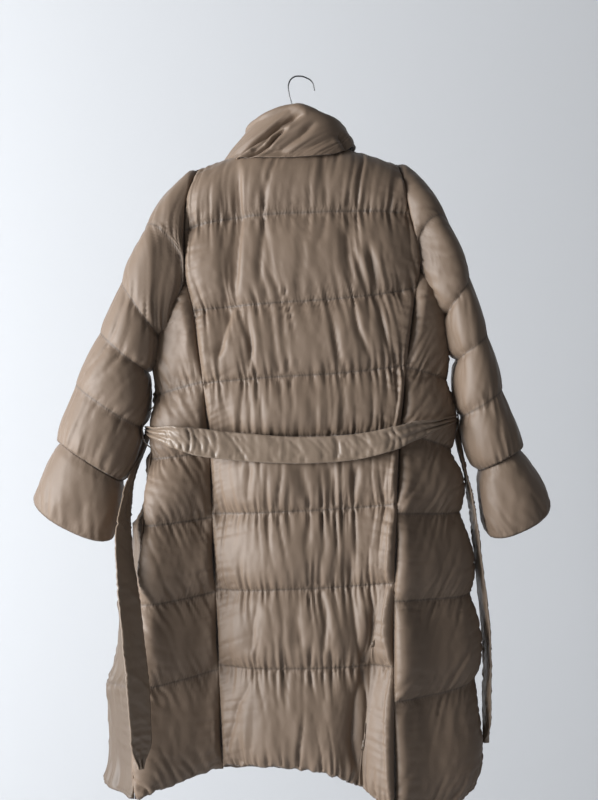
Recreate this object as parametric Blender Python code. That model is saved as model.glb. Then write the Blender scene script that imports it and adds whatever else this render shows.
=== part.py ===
"""Long belted puffer coat hanging on a wire hanger, with its back to -Y.

Frame: +Z up, -Y is where the back of the coat faces, +X is the wearer's right. The origin is the
underside of the hanger's hook, where a nail or a rail carries it. Lengths are in millimetres here
and become metres when a mesh is made.

The body is one closed form: an oval section at each height, pinched to nothing along the
shoulders, with soft folds laid over the back. Each panel is a padded wall cut out of that form
between two seams, thin where it is stitched and thick in the middle of each baffle.
"""

import math

import bmesh
import bpy
from mathutils import Vector

# ---------------------------------------------------------------- driving sizes, in millimetres
WALL = 3.0              # cloth, filling and lining where they are stitched together
PUFF = 10.0             # how far a baffle stands out of its stitch lines
SLEEVE_PUFF = 15.0      # the same on a sleeve
LINING_PUFF = 5.0       # how far it swells inwards
EDGE_SWELL = 38.0       # the padding reaches its full height this far from a seam
SEAM_GAP = 0.4          # half of the gap between two panels at a seam
ARMHOLE_GAP = 3.6       # the sleeve starts this far out from the armhole
SHOULDER_ROUND = 85.0   # height over which the shoulders turn over from front to back
SECTION_POWER = 2.5     # 2 is an ellipse, more is a fuller oval
MIDDLE_FRONT = -0.5 * math.pi
OVERLAP_ANGLE = 0.08    # each front passes the middle by this much, about 40 mm
FRONT_LAYER = 24.0      # the right front lies this far outside the left one
WIRE_RADIUS = 1.4

# Sections of the body: height, left and right edge, how far the back and the front stand out.
BODY_COLUMNS = ("z", "left", "right", "back", "front")
BODY_SECTIONS = [
    (-100, -232, 218, 52, 36),
    (-265, -243, 233, 66, 44),
    (-413, -249, 256, 76, 50),
    (-474, -254, 266, 80, 52),
    (-575, -268, 275, 84, 55),
    (-660, -272, 277, 84, 56),
    (-755, -288, 290, 88, 60),
    (-865, -314, 306, 92, 65),
    (-965, -334, 319, 95, 70),
    (-1090, -352, 327, 98, 74),
    (-1200, -362, 327, 100, 77),
    (-1380, -362, 326, 102, 80),
]

# Large folds of the back: where each starts and ends, its half width, and how far it goes in
# (negative is a ridge that stands out). The fade is the length over which it dies away.
FOLD_COLUMNS = ("name", "x_top", "z_top", "x_low", "z_low", "half_width", "depth", "fade")
FOLDS = [
    ("left princess valley", -166, -640, -141, -1500, 52, 38, 240),
    ("left side ridge", -280, -690, -288, -1500, 42, -34, 200),
    ("right princess ridge", 180, -640, 170, -1500, 40, -28, 220),
    ("right hem fold", 158, -880, 84, -1500, 26, 20, 160),
    ("shoulder blade hollow", -118, -190, -134, -470, 26, 9, 90),
]

# Seams of the back at each height: the armholes, and below them the princess seams.
SEAM_COLUMNS = ("z", "left_armhole", "left_back", "right_back", "right_armhole")
SEAMS = [
    (-179, -192, -192, 185, 185),
    (-240, -212, -211, 199, 199),
    (-300, -216, -214, 214, 214),
    (-363, -214, -212, 222, 224),
    (-383, -214, -211, 218, 234),
    (-431, -231, -198, 208, 260),
    (-474, -256, -191, 202, 276),
    (-575, -274, -177, 191, 280),
    (-660, -271, -168, 182, 280),
    (-755, -276, -163, 176, 290),
    (-865, -286, -160, 172, 306),
    (-975, -291, -154, 168, 318),
    (-1125, -290, -148, 168, 325),
    (-1280, -286, -141, 169, 325),
    (-1420, -284, -138, 170, 325),
]

# Side seams below the underarm: how far round from the side edge towards the back, in radians.
SIDE_COLUMNS = ("z", "left_side", "right_side")
SIDE_SEAMS = [
    (-431, 0.0, 0.0),
    (-520, 0.0, 0.02),
    (-600, 0.05, 0.03),
    (-660, 0.14, 0.04),
    (-755, 0.30, 0.05),
    (-865, 0.47, 0.06),
    (-975, 0.58, 0.07),
    (-1125, 0.66, 0.07),
    (-1420, 0.70, 0.08),
]

# Stitch lines of each panel: their height at the panel's left edge, right edge and how far
# they hang below the straight line between the two in the middle.
ROW_COLUMNS = ("left", "right", "sag")
BACK_ROWS = [
    (-292, -262, -14),
    (-441, -398, 4),
    (-574, -541, 2),
    (-676, -662, 0),
    (-814, -792, 2),
    (-953, -934, 2),
    (-1091, -1083, 2),
    (-1276, -1356, -38),
]
LEFT_SIDE_ROWS = [(-600, -572, 3), (-714, -700, 3), (-834, -821, 3), (-975, -957, 5),
                  (-1125, -1099, 5), (-1325, -1279, 0)]
RIGHT_SIDE_ROWS = [(-545, -569, 3), (-664, -700, 3), (-809, -812, 3), (-966, -962, 3),
                   (-1146, -1116, 4), (-1360, -1308, 12)]
LEFT_FRONT_ROWS = [(-292, -270, 4), (-452, -415, 4), (-600, -560, 4), (-714, -700, 4),
                   (-834, -830, 4), (-975, -975, 4), (-1125, -1130, 4), (-1325, -1315, -8)]
RIGHT_FRONT_ROWS = [(-292, -270, 4), (-425, -415, 4), (-569, -560, 4), (-700, -700, 4),
                    (-812, -830, 4), (-962, -975, 4), (-1116, -1130, 4), (-1308, -1335, 22)]

# Neck: where the shoulder seams meet the collar, and how deep the neckline is cut.
NECK_LEFT_X, NECK_RIGHT_X = -98.0, 76.0
BACK_NECK_DROP, FRONT_NECK_DROP = 18.0, 84.0
UNDER_SHOULDERS_Z = -200.0   # a panel that starts lower than this starts at a seam point
SHOULDER_TOP_X, SHOULDER_TOP_Z = -8.0, -112.0
LEFT_SHOULDER_SLOPE, RIGHT_SHOULDER_SLOPE = 0.364, 0.290
LEFT_UNDERARM_Z, RIGHT_UNDERARM_Z = -474.0, -431.0
ARMHOLE_ENDS = {"left": (-179.0, LEFT_UNDERARM_Z), "right": (-168.0, RIGHT_UNDERARM_Z)}
LEFT_PRINCESS_TOP_Z, RIGHT_PRINCESS_TOP_Z = -383.0, -363.0

# Sleeve rings on their stitch lines: outer and inner end of each ring, half its depth.
RING_COLUMNS = ("outer_x", "outer_z", "inner_x", "inner_z", "half_depth")
SLEEVE_MIDDLE_Y = -6.0
LEFT_SLEEVE = [(-323, -388, -270, -486, 58), (-363, -482, -296, -550, 61),
               (-408, -579, -312, -655, 63), (-444, -681, -330, -756, 63)]
RIGHT_SLEEVE = [(305, -378, 280, -446, 54), (338, -484, 304, -528, 59),
                (366, -586, 312, -634, 62), (406, -694, 334, -736, 62)]
LEFT_CUFF_END = (-494, -788, -350, -858, 56)
RIGHT_CUFF_END = (464, -799, 350, -850, 54)
CUFF_DROOP = 22.0       # the back of the cuff hangs this far below the line across its ends
CUFF_EDGE = 3.0         # the cuff's seam steps out this far from the sleeve
CUFF_PUFF = 6.0
# The stitch line across a sleeve head: its share of the way down at the outer edge, and how far
# round the armhole it ends.
HEAD_LINE_TOP = 0.56
HEAD_LINE_REACH = {"left": 1.82, "right": 1.77}

# Collar: where it is sewn to the neckline, the fold along its top and its free edge, from the
# wearer's left front end round the back of the neck to the right front end.
COLLAR_COLUMNS = ("name", "neck_x", "at_front", "roll", "edge")
COLLAR = [
    ("left front end", -36, True, (-42, 58, -150), (-66, 82, -192)),
    ("left front", -70, True, (-76, 40, -112), (-124, 58, -150)),
    ("left neck", -97.9, False, (-96, -2, -86), (-166, 2, -152)),
    ("back left", -66, False, (-62, -42, -72), (-116, -62, -152)),
    ("back middle", -11, False, (-12, -54, -62), (-20, -78, -158)),
    ("back right", 42, False, (44, -44, -76), (62, -68, -148)),
    ("right neck", 75.9, False, (80, -4, -92), (104, -22, -132)),
    ("right front", 56, True, (64, 48, -124), (86, 70, -158)),
    ("right front end", 20, True, (22, 76, -160), (34, 100, -198)),
]
COLLAR_THICK = 12.0
COLLAR_ROLL_RADIUS = 9.0
COLLAR_LIFT = 3.5       # gap between the neckline and the collar's seam
COLLAR_STEPS = 2        # sections made between two rows of the table

# Belt: one strip from its left free end up through the left loop, across the back, and down
# from the right loop. Its middle, the direction of its width, its width and its thickness.
BELT_COLUMNS = ("name", "middle", "across", "width", "thick")
BELT = [
    ("left tip", (-281, -152, -1256), (0.72, 0.69, 0), 12, 4),
    ("left end", (-281, -152, -1206), (0.72, 0.69, 0), 46, 4),
    ("left low", (-287, -152, -1110), (0.72, 0.69, 0), 50, 4),
    ("left mid", (-302, -138, -980), (0.65, 0.76, 0), 50, 4),
    ("left high", (-318, -102, -864), (0.45, 0.89, 0), 50, 4),
    ("left bow", (-317, -58, -790), (0.3, 0.95, 0), 40, 5),
    ("left neck", (-310, -20, -740), (0.2, 0.98, 0), 26, 7),
    ("left drop", (-300, 10, -708), (0, 1, 0), 16, 7),
    ("left turn", (-291, 18, -682), (0, 0.9, 0.2), 13, 6),
    ("left loop", (-285, 6, -664), (0, 0.4, 0.9), 13, 5.5),
    ("left behind", (-284, -18, -661), (0, 0, 1), 13, 6),
    ("left gather", (-268, -66, -665), (0, -0.2, 1), 22, 7),
    ("left flat", (-228, -98, -672), (0, -0.1, 1), 40, 5),
    ("left back", (-175, -100, -682), (0, 0.05, 1), 50, 4),
    ("middle left", (-100, -104, -690), (0, 0.1, 1), 50, 4),
    ("middle", (0, -110, -695), (0, 0.1, 1), 48, 4),
    ("middle right", (92, -112, -690), (0, 0.05, 1), 46, 5),
    ("right back", (160, -114, -676), (0, 0, 1), 42, 6),
    ("right flat", (205, -102, -661), (0, -0.1, 1), 34, 7),
    ("right gather", (255, -74, -648), (0, -0.2, 1), 20, 8),
    ("right behind", (286, -26, -640), (0, 0, 1), 13, 6),
    ("right loop", (287, 0, -642), (0, -0.4, 0.9), 13, 5.5),
    ("right turn", (294, 15, -658), (0, -0.9, 0.2), 13, 6),
    ("right drop", (298, 6, -690), (0, -1, 0), 18, 6),
    ("right neck", (305, -10, -730), (0, -1, 0), 34, 5),
    ("right high", (314, -22, -785), (0.1, -0.99, 0), 46, 4),
    ("right mid", (326, -20, -864), (0.15, -0.98, 0), 50, 4),
    ("right low", (345, -14, -1036), (0.2, -0.97, 0), 50, 4),
    ("right end", (347, -12, -1190), (0.2, -0.97, 0), 46, 4),
    ("right tip", (346, -12, -1243), (0.2, -0.97, 0), 12, 4),
]

# Wire of the hanger: the hook from its free end over the nail to the neck, and the frame.
HOOK_PATH = [(27, 0, -26), (22, 0, -9), (10, 0, -1), (0, 0, 1.4), (-13, 0, -1), (-21, 0, -12),
             (-21, 0, -30), (-14, 0, -56), (-9, 0, -84), (-8, 0, -112)]
FRAME_PATH = [(-8, 0, -115.5), (60, 0, -142), (150, 0, -178), (166, 0, -190), (150, 0, -197),
              (-8, 0, -197), (-160, 0, -197), (-178, 0, -190), (-162, 0, -182), (-80, 0, -144)]

# Materials: colour (linear), roughness, metallic.
SHELL_CLOTH = ("shell_cloth", (0.245, 0.190, 0.145, 1.0), 0.48, 0.0)
BELT_CLOTH = ("belt_cloth", (0.300, 0.240, 0.185, 1.0), 0.50, 0.0)
BLACK_WIRE = ("black_wire", (0.020, 0.021, 0.023, 1.0), 0.35, 0.6)


# ---------------------------------------------------------------- small helpers
def mix(a, b, t):
    return a + (b - a) * t


def smooth(t):
    t = min(max(t, 0.0), 1.0)
    return t * t * (3.0 - 2.0 * t)


def column(table, columns, name, at):
    """A named column of a table whose first column falls, read at a height between its rows."""
    index = columns.index(name)
    if at >= table[0][0]:
        return float(table[0][index])
    for upper, lower in zip(table, table[1:]):
        if at >= lower[0]:
            t = (upper[0] - at) / (upper[0] - lower[0])
            return mix(upper[index], lower[index], t)
    return float(table[-1][index])


def eased_column(table, columns, name, at, reach=45.0):
    """The same column without corners: the mean of three readings around the height."""
    around = (at + reach, at, at - reach)
    return sum(column(table, columns, name, z) for z in around) / 3.0


def spline(points, t):
    """A point on a smooth curve through the points, t from 0 to 1."""
    last = len(points) - 1
    i = min(int(t * last), last - 1)
    f = t * last - i
    p0, p1 = Vector(points[max(i - 1, 0)]), Vector(points[i])
    p2, p3 = Vector(points[i + 1]), Vector(points[min(i + 2, last)])
    bend = (2 * p0 - 5 * p1 + 4 * p2 - p3) * f * f + (3 * p1 - p0 - 3 * p2 + p3) * f ** 3
    return 0.5 * (2 * p1 + (p2 - p0) * f + bend)


# ---------------------------------------------------------------- form of the body
def shoulder_z(x):
    """Height of the shoulder seam above a place across the coat."""
    slope = LEFT_SHOULDER_SLOPE if x < SHOULDER_TOP_X else RIGHT_SHOULDER_SLOPE
    return SHOULDER_TOP_Z - slope * abs(x - SHOULDER_TOP_X)


def section(z):
    """Middle, half width, back and front depth of the body at a height."""
    left, right, back, front = (
        eased_column(BODY_SECTIONS, BODY_COLUMNS, name, z) for name in BODY_COLUMNS[1:]
    )
    return (left + right) / 2, (right - left) / 2, back, front


def fold_depth(x, z):
    """How far the large folds push the back of the coat in at a place."""
    total = 0.0
    for _, x_top, z_top, x_low, z_low, half_width, depth, fade in FOLDS:
        along = (z_top - z) / (z_top - z_low)
        middle = mix(x_top, x_low, along)
        share = smooth((z_top - z) / fade) * smooth((z - z_low) / fade + 0.5)
        total += depth * share * math.exp(-(((x - middle) / half_width) ** 2))
    return total


def body_point(angle, z):
    """A point of the stitched form. Angle 0 is the left edge, pi/2 the middle of the back,
    pi the right edge, and a negative angle or one past pi is the front."""
    middle, half, back, front = section(z)
    across, out = math.cos(angle), math.sin(angle)
    x = middle - half * math.copysign(abs(across) ** (2 / SECTION_POWER), across)
    drop = min(max((shoulder_z(x) - z) / SHOULDER_ROUND, 0.0), 1.0)
    pinch = math.sqrt(1.0 - (1.0 - drop) ** 2)
    reach = abs(out) ** (2 / SECTION_POWER) * pinch
    if out >= 0:
        return Vector((x, -back * reach + fold_depth(x, z) * min(reach * 1.6, 1.0), z))
    return Vector((x, front * reach, z))


def angle_at(x, z):
    """The angle at which the back of the form passes a place across the coat."""
    middle, half, _, _ = section(z)
    t = min(max((middle - x) / half, -1.0), 1.0)
    return math.acos(math.copysign(abs(t) ** (SECTION_POWER / 2), t))


def body_normal(angle, z):
    """Outward direction of the form."""
    around = body_point(angle + 0.01, z) - body_point(angle - 0.01, z)
    down = body_point(angle, z - 1.5) - body_point(angle, z)
    return down.cross(around).normalized()


def seam_angle(name, z):
    """Angle of an armhole or a princess seam at a height."""
    return angle_at(eased_column(SEAMS, SEAM_COLUMNS, name, z, 12.0), z)


def side_angle(side, z, front=False):
    """Angle of a side edge: the side seam, and above the underarm the armhole. The front
    armhole is the back one seen through the coat."""
    if z > ARMHOLE_ENDS[side][1]:
        angle = seam_angle(side + "_armhole", z)
        return -angle if front else angle
    turn = eased_column(SIDE_SEAMS, SIDE_COLUMNS, side + "_side", z, 20.0)
    return turn if side == "left" else math.pi - turn


# ---------------------------------------------------------------- padded walls
def swell(t, power=0.7):
    """Height of a baffle from one stitch line, t = 0, to the next, t = 1."""
    return max(math.sin(math.pi * min(max(t, 0.0), 1.0)), 0.0) ** power


def edge_swell(distance):
    """How much of its height the padding has this far from a seam."""
    return math.sin(0.5 * math.pi * min(max(distance / EDGE_SWELL, 0.0), 1.0))


def closed_wall(name, outer, inner, material, tube=False):
    """One closed solid from two grids of points. A tube joins each row's end to its start."""
    rows, count = len(outer), len(outer[0])
    mesh = bmesh.new()
    skins = [
        [[mesh.verts.new(point * 0.001) for point in row] for row in grid]
        for grid in (outer, inner)
    ]
    spans = [(j, (j + 1) % count) for j in range(count if tube else count - 1)]
    for i in range(rows - 1):
        for a, b in spans:
            for skin in skins:
                mesh.faces.new((skin[i][a], skin[i][b], skin[i + 1][b], skin[i + 1][a]))
    for i in (0, rows - 1):
        for a, b in spans:
            mesh.faces.new((skins[0][i][a], skins[0][i][b], skins[1][i][b], skins[1][i][a]))
    if not tube:
        for j in (0, count - 1):
            for i in range(rows - 1):
                edge = (skins[0][i][j], skins[0][i + 1][j], skins[1][i + 1][j], skins[1][i][j])
                mesh.faces.new(edge)
    bmesh.ops.recalc_face_normals(mesh, faces=mesh.faces)
    return finished(name, mesh, material)


def finished(name, mesh, material):
    data = bpy.data.meshes.new(name)
    mesh.to_mesh(data)
    mesh.free()
    data.shade_smooth()
    data.set_sharp_from_angle(angle=math.radians(50))
    piece = bpy.data.objects.new(name, data)
    piece.data.materials.append(material_of(*material))
    coat_collection.objects.link(piece)
    return piece


def material_of(name, colour, roughness, metallic):
    found = bpy.data.materials.get(name)
    if found:
        return found
    made = bpy.data.materials.new(name)
    made.use_nodes = True
    shader = made.node_tree.nodes["Principled BSDF"]
    shader.inputs["Base Color"].default_value = colour
    shader.inputs["Roughness"].default_value = roughness
    shader.inputs["Metallic"].default_value = metallic
    return made


def front_layer(point):
    """How far the right front is lifted here, so that it laps over the left one."""
    return FRONT_LAYER * smooth((110 - point.x) / 70) * smooth((-180 - point.z) / 26)


def panel(name, left_seam, right_seam, top, rows, columns, steps, front=False, lift=None):
    """A panel between two seams. Each seam gives an angle at a height, top gives the heights of
    its upper corners, and rows are its stitch lines. Lift gives how far a place stands off."""
    outer, inner = [], []
    lines = [(*top, 0.0), *rows]
    for k, (upper, lower) in enumerate(zip(lines, lines[1:])):
        for step in range(steps + (k == len(lines) - 2)):
            t = step / steps
            if k == 0:
                t = t ** 1.7
            left_z, right_z = mix(upper[0], lower[0], t), mix(upper[1], lower[1], t)
            ends = left_seam(left_z), right_seam(right_z)
            row = []
            for j in range(columns + 1):
                u = j / columns
                bow = 4 * u * (1 - u)
                z = mix(upper[0], upper[1], u) - upper[2] * bow
                if k == 0:
                    z = top_edge(left_seam(top[0]), right_seam(top[1]), u, z, front)
                z = mix(z, mix(lower[0], lower[1], u) - lower[2] * bow, t)
                angle = mix(ends[0], ends[1], u)
                point, normal = body_point(angle, z), body_normal(angle, z)
                if lift:
                    point = point + normal * lift(point)
                row.append((point, normal))
            first, last = row[0][0], row[-1][0]
            skins = [], []
            for point, normal in row:
                away = min((point - first).length, (point - last).length)
                rise = swell(t if k else t ** 0.6) * edge_swell(away)
                skins[0].append(own_half(point + normal * PUFF * rise, front))
                skins[1].append(own_half(point - normal * (WALL + LINING_PUFF * rise), front))
            outer.append(inset(skins[0]))
            inner.append(inset(skins[1]))
    return closed_wall(name, outer, inner, SHELL_CLOTH)


def own_half(point, front):
    """Keeps a point near the shoulder seam on its own side of it."""
    if shoulder_z(point.x) - point.z < 40:
        point.y = max(point.y, SEAM_GAP) if front else min(point.y, -SEAM_GAP)
    return point


def inset(row):
    """Pulls the two ends of a row in by half the seam gap."""
    row[0] = row[0] + (row[1] - row[0]).normalized() * SEAM_GAP
    row[-1] = row[-1] + (row[-2] - row[-1]).normalized() * SEAM_GAP
    return row


def top_edge(left_angle, right_angle, u, z, front):
    """Height of a panel's upper edge: the shoulder seam, or the neckline between neck points."""
    if z < UNDER_SHOULDERS_Z:
        return z
    x = body_point(mix(left_angle, right_angle, u), z).x
    return neckline_z(x, front)


def neckline_z(x, front):
    line = shoulder_z(x) - 0.001
    if not NECK_LEFT_X < x < NECK_RIGHT_X:
        return line
    middle, half = (NECK_LEFT_X + NECK_RIGHT_X) / 2, (NECK_RIGHT_X - NECK_LEFT_X) / 2
    s = (x - middle) / half
    straight = mix(shoulder_z(NECK_LEFT_X), shoulder_z(NECK_RIGHT_X), (s + 1) / 2)
    drop = FRONT_NECK_DROP if front else BACK_NECK_DROP
    return min(line, straight - drop * (1 - s * s))


# ---------------------------------------------------------------- sleeves and cuffs
def armhole_point(side, turn):
    """The armhole seam: turn 0 is the shoulder, pi/2 the back, pi the underarm."""
    top, under = ARMHOLE_ENDS[side]
    z = mix(top, under, (1 - math.cos(turn)) / 2)
    angle = seam_angle(side + "_armhole", z)
    angle = -angle if math.sin(turn) < 0 else angle
    point, normal = body_point(angle, z), body_normal(angle, z)
    sideways = Vector((-1.0 if side == "left" else 1.0, 0, 0))
    return point + sideways * ARMHOLE_GAP, normal


def ring_point(row, turn, wider=0.0, droop=0.0):
    """A point of a sleeve ring: turn 0 is its outer end, pi/2 the back, pi its inner end."""
    outer_x, outer_z, inner_x, inner_z, half_depth = row
    middle = Vector(((outer_x + inner_x) / 2, SLEEVE_MIDDLE_Y, (outer_z + inner_z) / 2))
    reach = Vector((outer_x - inner_x, 0, outer_z - inner_z)) / 2
    reach += reach.normalized() * wider
    across, out = math.cos(turn), math.sin(turn)
    along = math.copysign(abs(across) ** 0.85, across)
    deep = math.copysign(abs(out) ** 0.85, out) * (half_depth + wider)
    return middle + reach * along + Vector((0, -deep, -droop * max(out, 0.0)))


def ring_outward(row, turn):
    near = ring_point(row, turn - 0.05), ring_point(row, turn + 0.05)
    middle = (ring_point(row, 0.0) + ring_point(row, math.pi)) / 2
    along = near[1] - near[0]
    outward = ring_point(row, turn) - middle
    return (outward - along * (outward.dot(along) / along.length_squared)).normalized()


def between(first, second, t):
    return tuple(mix(a, b, t) for a, b in zip(first, second))


def head_line_share(side, turn):
    """Where the stitch line of the sleeve head crosses, as a share from armhole to first ring."""
    reach = HEAD_LINE_REACH[side]
    around = math.pi - abs(math.pi - turn % (2 * math.pi))
    return max(HEAD_LINE_TOP * (1 - (around / reach) ** 1.5), 0.07)


def sleeve(name, side, rings, count, steps):
    axis = Vector((rings[1][0] + rings[1][2] - rings[0][0] - rings[0][2], 0,
                   rings[1][1] + rings[1][3] - rings[0][1] - rings[0][3])).normalized()
    sign = -1.0 if side == "left" else 1.0
    outer, inner = [], []
    turns = [2 * math.pi * j / count for j in range(count)]
    for step in range(2 * steps):
        skins = [], []
        for turn in turns:
            split = head_line_share(side, turn)
            share = step / steps
            t = split * share if share < 1 else mix(split, 1.0, share - 1)
            start, normal = armhole_point(side, turn)
            end = ring_point(rings[0], turn)
            length = (end - start).length
            down = -0.25 - 0.75 * max(math.cos(turn), 0.0)
            leave = Vector((sign + 0.55 * normal.x, 0.55 * normal.y, down)).normalized()
            leave *= length * 1.15
            arrive = axis * length
            bend = (start * (2 * t ** 3 - 3 * t * t + 1) + leave * (t ** 3 - 2 * t * t + t)
                    + end * (3 * t * t - 2 * t ** 3) + arrive * (t ** 3 - t * t) * 0.8)
            outward = (normal * (1 - t) + ring_outward(rings[0], turn) * t).normalized()
            long_enough = min(length / 120, 1.0)
            rise = swell(share % 1.0) * long_enough
            skins[0].append(bend + outward * SLEEVE_PUFF * rise)
            skins[1].append(bend - outward * (WALL + LINING_PUFF * rise))
        outer.append(skins[0])
        inner.append(skins[1])
    for k, (upper, lower) in enumerate(zip(rings, rings[1:])):
        for step in range(steps + (k == len(rings) - 2)):
            t = step / steps
            row = between(upper, lower, t)
            skins = [], []
            for turn in turns:
                slim = 0.6 + 0.4 * math.cos(turn)
                rise = swell(t) * (0.35 + 0.65 * slim)
                outward = ring_outward(row, turn)
                skins[0].append(ring_point(row, turn) + outward * SLEEVE_PUFF * rise)
                skins[1].append(ring_point(row, turn) - outward * (WALL + LINING_PUFF * rise))
            outer.append(skins[0])
            inner.append(skins[1])
    return closed_wall(name, outer, inner, SHELL_CLOTH, tube=True)


def cuff(name, ring, end, count, steps):
    """A wide band sewn to the end of a sleeve; its back edge hangs lower than its ends."""
    axis = Vector((end[0] + end[2] - ring[0] - ring[2], 0, end[1] + end[3] - ring[1] - ring[3]))
    axis.normalize()
    outer, inner = [], []
    for step in range(steps + 1):
        t = step / steps
        row = between(ring, end, t)
        skins = [], []
        for j in range(count):
            turn = 2 * math.pi * j / count
            outward = ring_outward(row, turn)
            point = ring_point(row, turn, droop=CUFF_DROOP * t) + axis * 3 * SEAM_GAP
            rise = swell(t, 0.9)
            skins[0].append(point + outward * (CUFF_EDGE * smooth(6 * t) + CUFF_PUFF * rise))
            skins[1].append(point - outward * (WALL + 2 * rise))
        outer.append(skins[0])
        inner.append(skins[1])
    return closed_wall(name, outer, inner, SHELL_CLOTH, tube=True)


# ---------------------------------------------------------------- collar
def neck_turn(x, front):
    """Turn round the neck: pi is its left end, 1.5 pi the back and 2 pi its right end."""
    middle, half = (NECK_LEFT_X + NECK_RIGHT_X) / 2, (NECK_RIGHT_X - NECK_LEFT_X) / 2
    turn = math.acos(min(max((x - middle) / half, -1.0), 1.0))
    if not front:
        return 2 * math.pi - turn
    return turn if x < middle else 2 * math.pi + turn


def neck_point(turn):
    middle, half = (NECK_LEFT_X + NECK_RIGHT_X) / 2, (NECK_RIGHT_X - NECK_LEFT_X) / 2
    x, front = middle + half * math.cos(turn), math.sin(turn) > 0
    z = neckline_z(x, front)
    angle = angle_at(x, z)
    point = body_point(-angle if front else angle, z)
    if turn > 2 * math.pi:
        point.y += front_layer(point)
    return point + Vector((0, 0, COLLAR_LIFT))


def collar_line(base, roll, edge):
    """The middle of the padding from the neck seam up over the roll and down to the free edge."""
    out = (edge - base).cross(Vector((0, 0, 1)))
    out = Vector((0, 0, 1)).cross(out).normalized()
    rise = Vector((0, 0, COLLAR_ROLL_RADIUS))
    side = out * COLLAR_ROLL_RADIUS
    path = [base, mix(base, roll - rise - side, 0.5), roll - rise - side]
    path += [roll - side * 0.71 - rise * 0.29, roll, roll + side * 0.71 - rise * 0.29]
    path += [roll - rise + side, mix(roll - rise + side, edge, 0.35)]
    path += [mix(roll - rise + side, edge, 0.7), edge]
    return path


def collar():
    outer, inner = [], []
    last = len(COLLAR) - 1
    turns = [Vector((neck_turn(row[1], row[2]), 0, 0)) for row in COLLAR]
    rolls = [Vector(row[3]) for row in COLLAR]
    edges = [Vector(row[4]) for row in COLLAR]
    for step in range(last * COLLAR_STEPS + 1):
        t = step / (last * COLLAR_STEPS)
        base = neck_point(spline(turns, t).x)
        path = collar_line(base, spline(rolls, t), spline(edges, t))
        ahead = spline(rolls, min(t + 0.01, 1.0)) - spline(rolls, max(t - 0.01, 0.0))
        skins = [], []
        for j, point in enumerate(path):
            along = path[min(j + 1, len(path) - 1)] - path[max(j - 1, 0)]
            outward = ahead.cross(along).normalized()
            half = COLLAR_THICK / 2 * min(0.35 + 0.4 * min(j, len(path) - 1 - j), 1.0)
            skins[0].append(point + outward * half)
            skins[1].append(point - outward * half)
        outer.append(skins[0])
        inner.append(skins[1])
    return closed_wall("collar", outer, inner, SHELL_CLOTH)


# ---------------------------------------------------------------- belt, loops and hanger
def strip(name, centres, acrosses, widths, thicks, steps, material):
    """A flat strip along a smooth path; across is the direction of its width at each place."""
    last = len(centres) - 1
    corners = []
    for step in range(last * steps + 1):
        t = step / (last * steps)
        i = min(int(t * last), last - 1)
        f = smooth(t * last - i)
        centre = spline(centres, t)
        tangent = (spline(centres, min(t + 0.004, 1)) - spline(centres, max(t - 0.004, 0)))
        tangent.normalize()
        across = Vector(acrosses[i]).lerp(Vector(acrosses[i + 1]), f)
        across = (across - tangent * across.dot(tangent)).normalized()
        face = tangent.cross(across)
        half = across * mix(widths[i], widths[i + 1], f) / 2
        skin = face * mix(thicks[i], thicks[i + 1], f) / 2
        corners.append([centre - half - skin, centre + half - skin,
                        centre + half + skin, centre - half + skin])
    mesh = bmesh.new()
    rings = [[mesh.verts.new(corner * 0.001) for corner in ring] for ring in corners]
    for a, b in zip(rings, rings[1:]):
        for j in range(4):
            mesh.faces.new((a[j], a[(j + 1) % 4], b[(j + 1) % 4], b[j]))
    mesh.faces.new(rings[0])
    mesh.faces.new(rings[-1])
    bmesh.ops.recalc_face_normals(mesh, faces=mesh.faces)
    return finished(name, mesh, material)


def belt():
    columns = [[row[BELT_COLUMNS.index(name)] for row in BELT] for name in BELT_COLUMNS]
    _, centres, acrosses, widths, thicks = columns
    return strip("belt", centres, acrosses, widths, thicks, 2, BELT_CLOTH)


def belt_loop(name, side, top, low, stand):
    """A narrow strip sewn to the side seam above and below the belt."""
    path = []
    for share, out in ((0.0, 0.04), (0.2, 0.7), (0.45, 1.0), (0.7, 1.0), (0.88, 0.7), (1.0, 0.04)):
        z = mix(top, low, share)
        angle = side_angle(side, z)
        path.append(body_point(angle, z) + body_normal(angle, z) * (2.6 + stand * out))
    across = [Vector((0, 1, 0))] * len(path)
    count = len(path)
    return strip(name, path, across, [9] * count, [2] * count, 3, BELT_CLOTH)


def wire(name, points, closed=False):
    curve = bpy.data.curves.new(name, "CURVE")
    curve.dimensions = "3D"
    curve.bevel_depth = WIRE_RADIUS * 0.001
    curve.bevel_resolution = 1
    curve.resolution_u = 4
    curve.use_fill_caps = not closed
    line = curve.splines.new("BEZIER")
    line.bezier_points.add(len(points) - 1)
    for knot, point in zip(line.bezier_points, points):
        knot.co = Vector(point) * 0.001
        knot.handle_left_type = knot.handle_right_type = "AUTO"
    line.use_cyclic_u = closed
    piece = bpy.data.objects.new(name, curve)
    curve.materials.append(material_of(*BLACK_WIRE))
    coat_collection.objects.link(piece)
    return piece


# ---------------------------------------------------------------- the coat
for old in list(bpy.data.objects):
    bpy.data.objects.remove(old, do_unlink=True)
coat_collection = bpy.data.collections.new("long_puffer_coat")
bpy.context.scene.collection.children.link(coat_collection)


def left_back(z):
    return seam_angle("left_back", z)


def right_back(z):
    return seam_angle("right_back", z)


def left_side(z):
    return side_angle("left", z)


def right_side(z):
    return side_angle("right", z)


def left_front_edge(z):
    return side_angle("left", z, front=True)


def right_front_edge(z):
    angle = side_angle("right", z, front=True)
    return angle if angle > 0 else angle + 2 * math.pi


def left_overlap(z):
    return MIDDLE_FRONT - OVERLAP_ANGLE


def right_overlap(z):
    return MIDDLE_FRONT + 2 * math.pi + OVERLAP_ANGLE


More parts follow.
